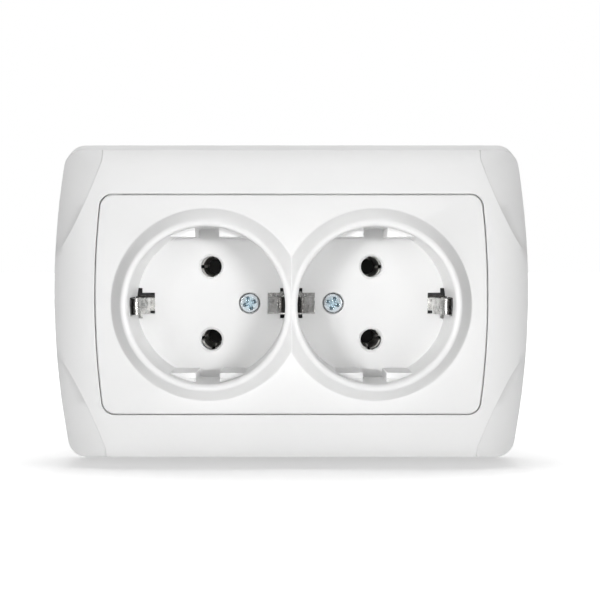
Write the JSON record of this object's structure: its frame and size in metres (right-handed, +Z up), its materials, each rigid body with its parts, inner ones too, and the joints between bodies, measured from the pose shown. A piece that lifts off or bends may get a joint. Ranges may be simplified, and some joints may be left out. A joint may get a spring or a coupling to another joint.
{
  "type": "double socket outlet",
  "caption": "Flush wall outlet with two round earthed plug recesses side by side in a white bowed frame, on a strap with spreading claws.",
  "frame": {"origin": "centre of the outlet in the wall plane, midway between the two box screw slots", "axes": "+X to the viewer's right, +Y into the wall, +Z up; the front faces -Y"},
  "size_m": [0.1238, 0.0461, 0.0822],
  "materials": {
    "white_plastic": "smooth moulded, satin to gloss white",
    "base_plastic": "filled moulding compound, matte black",
    "zinc_steel": "bright zinc plate with a blue tint",
    "strap_steel": "stamped sheet steel, dull zinc plate",
    "nickel_brass": "spring brass, nickel plated",
    "bare_brass": "turned and milled bare brass"
  },
  "bodies": {
    "outlet": {"outer_frame": "white_plastic", "socket_cover": "white_plastic", "cover_screws": "zinc_steel", "cover_nuts": "zinc_steel", "support_strap": "strap_steel", "strap_rivets": "strap_steel", "socket_base": "base_plastic", "contact_retainer": "base_plastic", "earth_rail": "nickel_brass", "earth_saddle": "strap_steel", "earth_screw": "zinc_steel", "live_rail": "nickel_brass", "neutral_rail": "nickel_brass", "live_terminal": "bare_brass", "neutral_terminal": "bare_brass", "terminal_screws": "zinc_steel", "claw_pins": "strap_steel"},
    "claw_top": {"claw_top": "strap_steel"},
    "claw_bottom": {"claw_bottom": "strap_steel"},
    "claw_screw_top": {"claw_screw_top": "zinc_steel"},
    "claw_screw_bottom": {"claw_screw_bottom": "zinc_steel"}
  },
  "joints": [
    {"name": "claw_top_pivot", "type": "hinge", "parent": "outlet", "child": "claw_top", "pos_m": [0, 0.004, 0.0225], "axis": [1, 0, 0], "range_deg": [0, 25]},
    {"name": "claw_screw_top_feed", "type": "slide", "parent": "outlet", "child": "claw_screw_top", "axis": [0, 1, 0], "range_m": [0, 0.00157]},
    {"name": "claw_bottom_pivot", "type": "hinge", "parent": "outlet", "child": "claw_bottom", "pos_m": [0, 0.004, -0.0225], "axis": [-1, 0, 0], "range_deg": [0, 25]},
    {"name": "claw_screw_bottom_feed", "type": "slide", "parent": "outlet", "child": "claw_screw_bottom", "axis": [0, 1, 0], "range_m": [0, 0.00157]}
  ],
  "couplings": [
    {"joint": "claw_top_pivot", "follows": "claw_screw_top_feed", "rad_per_m": 277.8},
    {"joint": "claw_bottom_pivot", "follows": "claw_screw_bottom_feed", "rad_per_m": 277.8}
  ]
}
